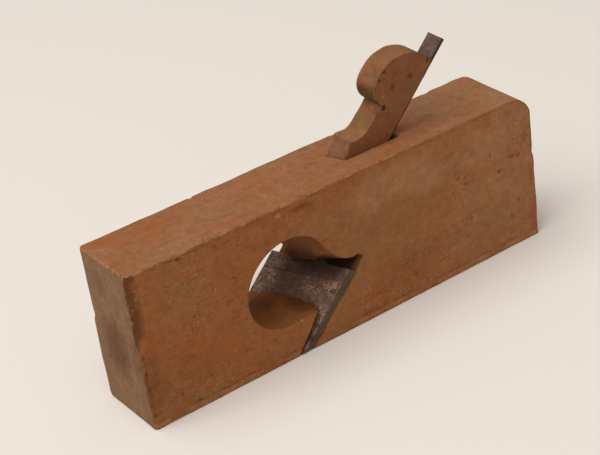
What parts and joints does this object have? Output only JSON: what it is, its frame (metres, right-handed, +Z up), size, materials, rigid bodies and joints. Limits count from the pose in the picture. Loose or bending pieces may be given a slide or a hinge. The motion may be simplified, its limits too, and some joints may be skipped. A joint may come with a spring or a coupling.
{
  "type": "rebate plane",
  "caption": "Wooden skew rebate plane: a block with a round side escapement, a full-width skewed iron with a tang, and the round-headed wedge that locks it.",
  "frame": {"origin": "centre of the sole, on the surface that the plane stands on", "axes": "+X from toe to heel along the sole, +Y across to the side away from the picture, +Z up"},
  "size_m": [0.241, 0.042, 0.1254],
  "materials": {
    "stock_wood": "worn, hand-polished beech with an old reddish-brown patina",
    "wrought_iron": "dark forged wrought iron, rust-stained",
    "laid_steel": "ground steel face, pitted and stained",
    "wedge_wood": "worn beech, same patina as the stock"
  },
  "bodies": {
    "stock": {"stock": "stock_wood"},
    "iron": {"iron": "wrought_iron", "cutting_steel": "laid_steel"},
    "wedge": {"wedge": "wedge_wood"}
  },
  "joints": [
    {"name": "iron_slide", "type": "slide", "parent": "stock", "child": "iron", "axis": [0.7071, 0, 0.7071], "range_m": [-0.175, 0.004]},
    {"name": "wedge_slide", "type": "slide", "parent": "stock", "child": "wedge", "axis": [0.7071, 0, 0.7071], "range_m": [0, 0.085]}
  ]
}
